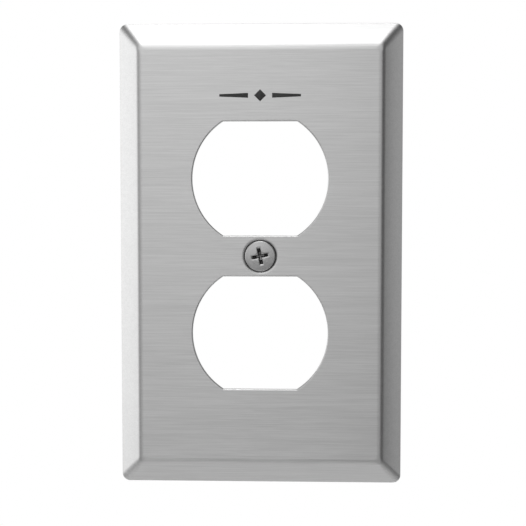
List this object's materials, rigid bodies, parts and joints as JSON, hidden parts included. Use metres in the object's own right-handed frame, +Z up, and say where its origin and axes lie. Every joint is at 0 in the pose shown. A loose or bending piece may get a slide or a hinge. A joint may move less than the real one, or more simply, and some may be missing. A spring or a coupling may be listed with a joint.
{
  "type": "duplex receptacle wall plate",
  "caption": "Bevelled rectangular sheet-metal wall plate with two round outlet openings with flat ends, and a captive cross-recess screw between them.",
  "frame": {"origin": "middle of the plate on the wall plane, on the axis of the centre screw", "axes": "+X to the right and +Z up along the wall, +Y into the wall; the front face looks towards -Y"},
  "size_m": [0.0718, 0.0134, 0.1172],
  "materials": {
    "brushed_stainless": "brushed along X, satin",
    "screw_steel": "turned head, bright rolled thread",
    "washer_fibre": "matt vulcanised fibre",
    "black_ink": "semi-matt pad-printed ink"
  },
  "bodies": {
    "plate": {"face_plate": "brushed_stainless", "printed_mark": "black_ink"},
    "washer": {"retaining_washer": "washer_fibre"},
    "screw": {"centre_screw": "screw_steel"}
  },
  "joints": [
    {"name": "screw_travel", "type": "slide", "parent": "plate", "child": "washer", "axis": [0, -1, 0], "range_m": [0, 0.00198]},
    {"name": "screw_turn", "type": "hinge", "parent": "washer", "child": "screw", "pos_m": [0, 0, 0], "axis": [0, -1, 0], "range_deg": [0, 900]}
  ],
  "couplings": [
    {"joint": "screw_turn", "follows": "screw_travel", "rad_per_m": 7915.8}
  ]
}
